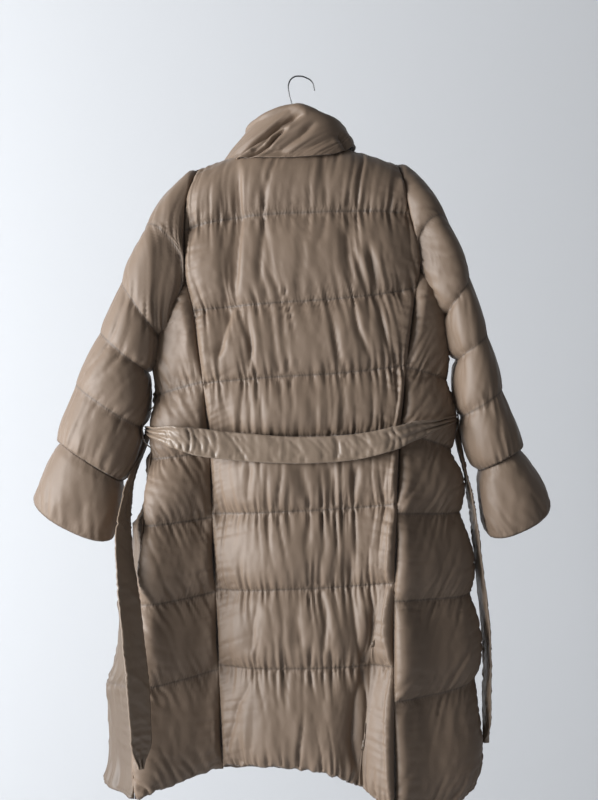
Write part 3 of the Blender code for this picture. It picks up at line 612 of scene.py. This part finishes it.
def ring_point(row, turn, droop=0.0):
    """Points of rings: turn 0 is the outer end, pi/2 the back and pi the inner end."""
    outer, inner = row[..., 0:2], row[..., 2:4]
    middle, reach = (outer + inner) / 2, (outer - inner) / 2
    across, out = np.cos(turn), np.sin(turn)
    along = np.sign(across) * np.abs(across) ** 0.85
    deep = np.sign(out) * np.abs(out) ** 0.85 * row[..., 4]
    low = droop * np.maximum(out, 0.0)
    return np.stack([middle[..., 0] + reach[..., 0] * along, SLEEVE_MIDDLE_Y - deep,
                     middle[..., 1] + reach[..., 1] * along - low], axis=-1)


def unit(v):
    return v / np.maximum(np.linalg.norm(v, axis=-1, keepdims=True), 1e-9)


def armhole_point(side, turn):
    """The armhole seam: turn 0 is the shoulder, pi/2 the back and pi the underarm."""
    top, under = ARMHOLE_ENDS[side]
    z = top + (under - top) * (1 - np.cos(turn)) / 2
    angle = armhole_angle(side, z)
    angle = np.where(np.sin(turn) < 0, -angle, angle)
    point = body_point(angle, z)
    around = body_point(angle + 0.01, z) - body_point(angle - 0.01, z)
    down = body_point(angle, z - 1.5) - point
    return point, unit(np.cross(down, around))


def head_line(side, turn):
    """Share of the sleeve head, from the armhole down, that lies above its stitch line."""
    around = np.pi - np.abs(np.pi - turn % (2 * math.pi))
    reach = HEAD_LINE_REACH[side]
    return np.maximum(HEAD_LINE_TOP * (1 - (around / reach) ** 1.5), 0.07)


def lay_sleeve(side, rings, step):
    """The stitched shape of a sleeve, from the armhole to the cuff."""
    sign = -1.0 if side == "left" else 1.0
    count = int(SLEEVE_ROUND / step)
    turn = np.linspace(math.pi, 3 * math.pi, count + 1)[None, :]
    turn = turn if side == "left" else -turn
    start, normal = armhole_point(side, turn)
    start = start - normal * 1.0
    start[..., 0] -= sign * 2.0
    start[..., 2] += 4.0 * np.maximum(np.cos(turn), 0.0)
    end = ring_point(rings[0], turn)
    axis = ring_point(rings[1], turn) - end
    axis = unit(axis.mean(axis=(0, 1)))
    length = np.linalg.norm(end - start, axis=-1, keepdims=True)
    down = -0.25 - 0.75 * np.maximum(np.cos(turn), 0.0)
    leave = unit(np.stack([sign + 0.55 * normal[..., 0], 0.55 * normal[..., 1], down], axis=-1))
    leave = leave * length * 1.15
    split = head_line(side, turn)[..., None]
    points, baffle, share, tall = [], [], [], []
    for part, tallest in ((0, 105), (1, 130)):
        number = int(tallest / step)
        t = np.arange(number)[:, None, None] / number
        s = split * t if part == 0 else split + (1 - split) * t
        bend = (start * (2 * s ** 3 - 3 * s * s + 1) + leave * (s ** 3 - 2 * s * s + s)
                + end * (3 * s * s - 2 * s ** 3) + axis * length * (s ** 3 - s * s) * 0.8)
        points.append(bend)
        high = (split if part == 0 else 1 - split)[..., 0] * length[..., 0]
        tall.append(high + 0 * bend[..., 0])
        share.append(t[..., 0] + 0 * bend[..., 0])
        baffle.append(part + 0 * bend[..., 0])
    for k, (upper, lower) in enumerate(zip(rings, rings[1:])):
        high = np.linalg.norm((upper - lower)[:2])
        number = int(high / step)
        last = k == len(rings) - 2
        t = np.arange(number + last)[:, None] / number
        ring = upper[None, None] + (lower - upper)[None, None] * t[..., None]
        points.append(ring_point(ring, turn))
        tall.append(high + 0 * points[-1][..., 0])
        share.append(t + 0 * turn)
        baffle.append(k + 2 + 0 * points[-1][..., 0])
    cut = {"points": np.concatenate(points), "baffle": np.concatenate(baffle),
           "t": np.concatenate(share), "tall": np.concatenate(tall), "turn": turn}
    cut["across"], cut["down"] = arc(cut["points"], 1), arc(cut["points"], 0)
    return cut


def sew_tube(name, node, cut, height, material, inner, thick=4.0):
    points = cut["points"]
    out = normals_of(points, wrap=True)
    height[:, 0] = height[:, -1] = (height[:, 0] + height[:, -1]) / 2
    piece, order = grid_object(name, points.shape[0] - 1, points.shape[1] - 1)
    write_points(piece, order, points + out * height[..., None])
    write_uv(piece, order, cut["across"], cut["down"])
    line = np.minimum(cut["t"], 1 - cut["t"]) * cut["tall"]
    write_mark(piece, order, "stitching", np.exp(-line / 6.0))
    bpy.ops.object.mode_set(mode="EDIT")
    bpy.ops.mesh.select_all(action="SELECT")
    bpy.ops.mesh.remove_doubles(threshold=0.00005)
    bpy.ops.mesh.normals_make_consistent(inside=False)
    bpy.ops.object.mode_set(mode="OBJECT")
    dress(piece, node, material, inner, thick)
    return piece


def sleeve_height(cut, seed, plump=7.0):
    """A sleeve's baffles are nearly flush on the outer side. The grooves between them deepen
    towards the inner side, where the sleeve hangs slack."""
    inner_side = 0.5 - 0.5 * np.cos(cut["turn"])
    height = fill_height(cut, seed, plump=plump, left_edge=8.0, right_edge=8.0, seams=0.3,
                         gathers=1.0, sag=1.35)
    line = np.minimum(cut["t"], 1 - cut["t"]) * cut["tall"]
    groove = -6.0 * inner_side ** 2 * np.exp(-(line / 9) ** 2)
    near_body = 6.0 + 12.0 * smooth((cut["points"][..., 2] + 755) / 110)
    base = 9.0 * (1 - inner_side) + near_body * inner_side
    height = height * (0.55 + 0.45 * np.sqrt(inner_side))
    return (height + groove + base) * smooth(cut["down"] / 9)


# %% Sleeves
left_sleeve = lay_sleeve("left", LEFT_SLEEVE, 3.8)
height = sleeve_height(left_sleeve, 71)
sew_tube("sleeve_left_puffed", "sleeve_left", left_sleeve, height, shell, lining)
right_sleeve = lay_sleeve("right", RIGHT_SLEEVE, 3.8)
height = sleeve_height(right_sleeve, 83)
sew_tube("sleeve_right_puffed", "sleeve_right", right_sleeve, height, shell, lining)


# %% Cuffs
def lay_cuff(side, ring, end, step):
    count = int(CUFF_ROUND / step)
    turn = np.linspace(math.pi, 3 * math.pi, count + 1)[None, :]
    turn = turn if side == "left" else -turn
    high = np.linalg.norm((ring - end)[:2])
    number = int(high / step)
    t = np.arange(number + 1)[:, None] / number
    rows = ring[None, None] + (end - ring)[None, None] * t[..., None]
    points = ring_point(rows, turn, CUFF_DROOP * t)
    cut = {"points": points, "baffle": 0 * points[..., 0], "t": t + 0 * turn,
           "tall": high + 0 * points[..., 0], "turn": turn}
    cut["across"], cut["down"] = arc(points, 1), arc(points, 0)
    return cut


for side, ring, end, seed in (("left", LEFT_SLEEVE[-1], LEFT_CUFF_END, 91),
                              ("right", RIGHT_SLEEVE[-1], RIGHT_CUFF_END, 97)):
    cuff_cut = lay_cuff(side, ring, end, 3.6)
    height = fill_height(cuff_cut, seed, plump=6.0, gathers=0.45, left_edge=10.0,
                         right_edge=10.0, seams=0.2, lean=0.6, slack=4.0)
    height += 3.0 * smooth(cuff_cut["t"] * 6)
    sew_tube(f"cuff_{side}_puffed", f"cuff_{side}", cuff_cut, height, shell, lining, 3.5)

# %% [markdown]
# ## The collar
#
# The collar is a wide padded band that folds over on itself. Its middle line runs from the neck
# seam up over the roll and down to the free edge, at nine places round the neck. The band's own
# two skins are laid on both sides of that line, so it is one closed cushion.

# %% Collar
# neckline x, at the front or not, the roll's highest point, the free edge
COLLAR = [(-36, True, (-42, 58, -150), (-66, 82, -192)),
          (-70, True, (-76, 40, -112), (-124, 58, -150)),
          (-97.9, False, (-96, -2, -98), (-154, 2, -160)),
          (-66, False, (-62, -42, -79), (-112, -56, -160)),
          (-11, False, (-12, -54, -66), (-20, -70, -162)),
          (42, False, (43, -44, -83), (62, -62, -154)),
          (75.9, False, (76, -4, -101), (101, -22, -134)),
          (56, True, (64, 48, -124), (86, 70, -158)),
          (20, True, (22, 76, -160), (34, 100, -198))]
ROLL_RADIUS = 9.0
COLLAR_LIFT = 3.5   # gap between the neckline and the collar
NECK_MIDDLE, NECK_HALF = (NECK[0] + NECK[1]) / 2, (NECK[1] - NECK[0]) / 2


def spline(points, t):
    """Points on a smooth curve through the given ones, t from 0 to 1."""
    table = np.array(points, float)
    last = len(table) - 1
    i = np.minimum((t * last).astype(int), last - 1)
    f = (t * last - i)[..., None]
    p0, p1 = table[np.maximum(i - 1, 0)], table[i]
    p2, p3 = table[i + 1], table[np.minimum(i + 2, last)]
    bend = (2 * p0 - 5 * p1 + 4 * p2 - p3) * f ** 2 + (3 * p1 - p0 - 3 * p2 + p3) * f ** 3
    return 0.5 * (2 * p1 + (p2 - p0) * f + bend)


def neck_turn(x, front):
    turn = math.acos(min(max((x - NECK_MIDDLE) / NECK_HALF, -1.0), 1.0))
    if not front:
        return 2 * math.pi - turn
    return turn if x < NECK_MIDDLE else 2 * math.pi + turn


def neck_point(turn):
    x, front = NECK_MIDDLE + NECK_HALF * np.cos(turn), np.sin(turn) > 0
    z = np.where(front, neckline_z(x, True), neckline_z(x, False))
    angle = angle_at(x, z)
    point = body_point(np.where(front, -angle, angle), z)
    point[..., 1] += np.where(turn > 2 * math.pi, front_layer(point), 0.0)
    point[..., 2] += COLLAR_LIFT
    return point


def collar_section(t, v):
    """Middle surface of the collar: t runs round the neck, v from the seam to the free edge."""
    turns = spline([(neck_turn(x, front),) for x, front, _, _ in COLLAR], t)[..., 0]
    base = neck_point(turns)
    roll = spline([row[2] for row in COLLAR], t)
    edge = spline([row[3] for row in COLLAR], t)
    up = np.array((0.0, 0.0, 1.0))
    side = unit(np.cross(up, np.cross(edge - base, up)))
    r, lift = ROLL_RADIUS, up * ROLL_RADIUS
    inner, outer = roll - lift - side * r, roll - lift + side * r
    path = [base, (base + inner) / 2, inner, roll - side * r * 0.71 - lift * 0.29, roll,
            roll + side * r * 0.71 - lift * 0.29, outer, outer + (edge - outer) * 0.35,
            outer + (edge - outer) * 0.7, edge]
    stops = np.array([0, 0.2, 0.4, 0.44, 0.48, 0.52, 0.56, 0.7, 0.85, 1.0])
    stack = np.stack([p[:, 0] for p in path], axis=1)
    fine = np.empty((stack.shape[0], v.shape[-1], 3))
    for i in range(3):
        for j in range(stack.shape[0]):
            fine[j, :, i] = np.interp(v[0], stops, stack[j, :, i])
    return fine


along_count, around_count = 330, 84
t = np.linspace(0, 1, along_count + 1)[:, None]
v = np.linspace(0, 1, around_count + 1)[None, :]
middle = collar_section(t, v)
for _ in range(3):
    middle[:, 1:-1] = (middle[:, :-2] + 2 * middle[:, 1:-1] + middle[:, 2:]) / 4
outward = -normals_of(middle)
lengthways, sideways = arc(middle, 0), arc(middle, 1)
COLLAR_CREASES = [
    ([(-141, -172), (-115, -152), (-87, -136), (-58, -120), (-36, -104), (-14, -94), (11, -82)],
     4, 5, 10),  # under the fall
    ([(-108, -163), (-79, -154), (-58, -141), (-40, -122), (-18, -104)],
     3, 4, 7),  # rolled fold
    ([(-79, -158), (-36, -149), (0, -125), (32, -94)],
     5, 5, 3),  # first ray
    ([(-58, -159), (0, -149), (54, -129), (78, -114)],
     6, 6, 2),  # second ray
    ([(-90, -152), (-69, -138), (-54, -122)],
     3, 4, 4),  # tuck
    ([(94, -150), (79, -129), (68, -113)],
     5, 6, 5),  # right end
]
fold = creases(middle, COLLAR_CREASES) * smooth((v - 0.42) / 0.1) * 2.4
# Above the first crease the fall's outer layer lies further back than the rest.
above, share = beside(middle[..., 0], middle[..., 2], COLLAR_CREASES[0][0])
fold = fold - 9.0 * smooth(0.5 + above / 4) * smooth((1 - share) / 0.15) * smooth((v - 0.46) / 0.1)
fold = fold + 1.6 * waves(lengthways / 30 + v * 2.2, sideways / 70, 141)
fold = fold + 0.7 * waves(lengthways / 12 + v * 3.0, sideways / 60, 142)
fold = fold + 0.5 * gather(lengthways, (1 - v) * 150, 150, -0.8)
half = 7.0 * np.minimum(np.sin(math.pi * np.clip(v, 0.02, 0.98)) ** 0.5, 1.0)
front_skin = middle + outward * (half + fold)[..., None]
back_skin = middle - outward * (half * 0.8 - np.minimum(fold, 0.0))[..., None]
section = np.concatenate([front_skin, back_skin[:, ::-1], front_skin[:, :1]], axis=1)
piece, order = grid_object("collar_puffed", section.shape[0] - 1, section.shape[1] - 1)
write_points(piece, order, section)
write_uv(piece, order, arc(section, 1), arc(section, 0))
bpy.ops.object.mode_set(mode="EDIT")
bpy.ops.mesh.select_all(action="SELECT")
bpy.ops.mesh.remove_doubles(threshold=0.00005)
bpy.ops.mesh.fill_holes(sides=0)
bpy.ops.mesh.normals_make_consistent(inside=False)
bpy.ops.object.mode_set(mode="OBJECT")
piece.data.materials.append(shell)
bpy.ops.object.shade_smooth()
piece.select_set(False)
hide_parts("collar")
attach(piece, "root")

# %% [markdown]
# ## The belt and its loops
#
# The belt is a flat strip of the same cloth, about 50 mm wide and 1.98 m long. It hangs loose
# at the left, bunches up through the left loop, lies across the back, bunches up through the
# right loop and hangs down at the right.

# %% Belt
# middle, direction of its width, width
BELT = [
    ((-281, -152, -1256), (0.72, 0.69, 0), 12), ((-281, -152, -1206), (0.72, 0.69, 0), 46),
    ((-287, -152, -1110), (0.72, 0.69, 0), 50), ((-302, -138, -980), (0.65, 0.76, 0), 50),
    ((-318, -102, -864), (0.45, 0.89, 0), 50), ((-317, -58, -790), (0.3, 0.95, 0), 40),
    ((-310, -20, -740), (0.2, 0.98, 0), 26), ((-300, 10, -708), (0, 1, 0), 16),
    ((-291, 18, -682), (0, 0.9, 0.2), 13), ((-285, 6, -664), (0, 0.4, 0.9), 13),
    ((-284, -18, -661), (0, 0, 1), 13), ((-268, -66, -665), (0, -0.2, 1), 22),
    ((-228, -98, -672), (0, -0.1, 1), 40), ((-175, -100, -682), (0, 0.05, 1), 50),
    ((-100, -104, -690), (0, 0.1, 1), 50), ((0, -110, -695), (0, 0.1, 1), 48),
    ((92, -112, -690), (0, 0.05, 1), 46), ((160, -114, -676), (0, 0, 1), 42),
    ((205, -102, -661), (0, -0.1, 1), 34), ((255, -74, -648), (0, -0.2, 1), 20),
    ((286, -26, -640), (0, 0, 1), 13), ((287, 0, -642), (0, -0.4, 0.9), 13),
    ((294, 15, -658), (0, -0.9, 0.2), 13), ((298, 6, -690), (0, -1, 0), 18),
    ((305, -10, -730), (0, -1, 0), 34), ((314, -22, -785), (0.1, -0.99, 0), 46),
    ((326, -20, -864), (0.15, -0.98, 0), 50), ((345, -14, -1036), (0.2, -0.97, 0), 50),
    ((347, -12, -1190), (0.2, -0.97, 0), 46), ((346, -12, -1243), (0.2, -0.97, 0), 12),
]


def ribbon(centres, acrosses, widths, count, columns):
    """A flat grid laid along a smooth path, and the directions of its width and its face."""
    t = np.linspace(0, 1, count + 1)
    last = len(centres) - 1
    i = np.minimum((t * last).astype(int), last - 1)
    f = smooth(t * last - i)[:, None]
    centre = spline(centres, t)
    ahead, behind = spline(centres, np.minimum(t + 0.002, 1)), spline(centres, np.maximum(t - 0.002, 0))
    tangent = unit(ahead - behind)
    table, width = np.array(acrosses, float), np.array(widths, float)[:, None]
    across = table[i] * (1 - f) + table[i + 1] * f
    across = unit(across - tangent * (across * tangent).sum(axis=-1, keepdims=True))
    wide = width[i] * (1 - f) + width[i + 1] * f
    v = np.linspace(-0.5, 0.5, columns + 1)[None, :, None]
    points = centre[:, None] + across[:, None] * (v * wide[:, None])
    return points, np.cross(tangent, across)[:, None], wide


def lay_strip(name, node, points, material, thick):
    piece, order = grid_object(name, points.shape[0] - 1, points.shape[1] - 1)
    write_points(piece, order, points)
    write_uv(piece, order, arc(points, 1), arc(points, 0))
    wall = piece.modifiers.new("thickness", "SOLIDIFY")
    wall.thickness = thick * MM
    wall.offset = 0.0
    bpy.ops.object.modifier_apply(modifier=wall.name)
    piece.data.materials.append(material)
    bpy.ops.object.shade_smooth()
    piece.select_set(False)
    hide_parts(node)
    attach(piece, "root")
    return piece


points, face, wide = ribbon([row[0] for row in BELT], [row[1] for row in BELT],
                            [row[2] for row in BELT], 620, 16)
v = np.linspace(-0.5, 0.5, 17)[None, :]
gathered = np.clip((46 - wide) / 33, 0, 1)
along = arc(points, 0)
ripple = gathered * 4.6 * np.sin(v * 2 * math.pi * 2.5 + 0.7)
ripple = ripple + (1 - gathered) * 1.6 * waves(along / 26 + v * 1.8, v * 1.2 + 4, 171)
ripple = ripple + 0.6 * (1 - gathered) * gather(along, 25 - np.abs(v) * 50, 181)
slant = (along + 34 * v + 6 * waves(along / 45, v * 1.5 + 9, 191)) / 13
ripple = ripple - 3.4 * (1 - gathered) * per_pucker(np.round(slant), 195, 0.0, 1.0) ** 2 * (
    1 - np.abs(np.sin(math.pi * slant)) ** 0.8)
belt = points + face * ripple[..., None]
lay_strip("belt_strip", "belt", belt, belt_cloth, 2.6)
print("belt:", round(float(along[:, 8].max())), "mm long")


# %% Belt loops
def loop_path(side, top, low, stand):
    z = np.array([top + (low - top) * s for s in (0.0, 0.2, 0.45, 0.7, 0.88, 1.0)], float)
    out = np.array([0.04, 0.7, 1.0, 1.0, 0.7, 0.04])
    angle = side_angle(side, z)
    point = body_point(angle, z)
    around = body_point(angle + 0.01, z) - body_point(angle - 0.01, z)
    normal = unit(np.cross(body_point(angle, z - 1.5) - point, around))
    return point + normal * (2.6 + stand * out)[:, None]


for side, top, low, stand in (("left", -618, -694, 19), ("right", -598, -674, 15)):
    path = loop_path(side, top, low, stand)
    points, _, _ = ribbon(path, [(0, 1, 0)] * len(path), [10] * len(path), 40, 4)
    lay_strip(f"belt_loop_{side}_strap", f"belt_loop_{side}", points,
              belt_cloth, 1.8)

# %% [markdown]
# ## The hanger's wire
#
# The hanger's own shape is right already, so its wire only gets a better finish: black enamel.

# %% Black wire
wire, tree, shader = bare_material("black enamelled wire")
shader.inputs["Base Color"].default_value = linear("#1A1A1C")
shader.inputs["Roughness"].default_value = 0.32
shader.inputs["Metallic"].default_value = 0.0
for node in ("hanger_hook", "hanger_frame"):
    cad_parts[node].material_slots[0].material = wire

# %% [markdown]
# ## The room and the light
#
# A plain pale wall and floor, and daylight from a large window at the left, in front of the coat.

# %% Wall, floor, light and camera
bpy.ops.mesh.primitive_plane_add(size=9.0, location=(0, 1.3, 2.7), rotation=(math.pi / 2, 0, 0))
wall = bpy.context.object
wall.name = "wall"
bpy.ops.mesh.primitive_plane_add(size=9.0, location=(0, -3.2, -1.8))
floor = bpy.context.object
floor.name = "floor"
plaster, tree, shader = bare_material("pale plaster")
shader.inputs["Base Color"].default_value = linear("#CBCCCE")
shader.inputs["Roughness"].default_value = 0.9
# The wall's back lets light and sight through, so the coat can be looked at from behind it too.
facing = add_node(tree, "ShaderNodeNewGeometry")
clear = add_node(tree, "ShaderNodeBsdfTransparent")
both = add_node(tree, "ShaderNodeMixShader", {}, {0: facing.outputs["Backfacing"],
                                                  1: shader.outputs[0], 2: clear.outputs[0]})
tree.links.new(both.outputs[0], tree.nodes["Material Output"].inputs["Surface"])
for surface in (wall, floor):
    surface.data.materials.append(plaster)
bpy.ops.object.light_add(type="AREA", location=(-4.7, -2.35, -0.2))
window = bpy.context.object
window.name = "window"
window.data.shape = "RECTANGLE"
window.data.size, window.data.size_y = 3.0, 2.6
window.data.energy = 565.0
window.data.color = (0.95, 0.975, 1.0)
window.rotation_euler = (math.radians(86), 0, math.radians(-64))
world = bpy.context.scene.world or bpy.data.worlds.new("room")
bpy.context.scene.world = world
world.use_nodes = True
world.node_tree.nodes["Background"].inputs[0].default_value = linear("#E6E8EC")
world.node_tree.nodes["Background"].inputs[1].default_value = 0.2
bpy.ops.object.camera_add(location=(-0.002, -2.63, -0.605), rotation=(math.pi / 2, 0, 0))
camera = bpy.context.object
camera.data.sensor_fit = "VERTICAL"
camera.data.sensor_height = 36.0
camera.data.lens = 63.2
bpy.context.scene.camera = camera
bpy.context.scene.view_settings.view_transform = "Standard"
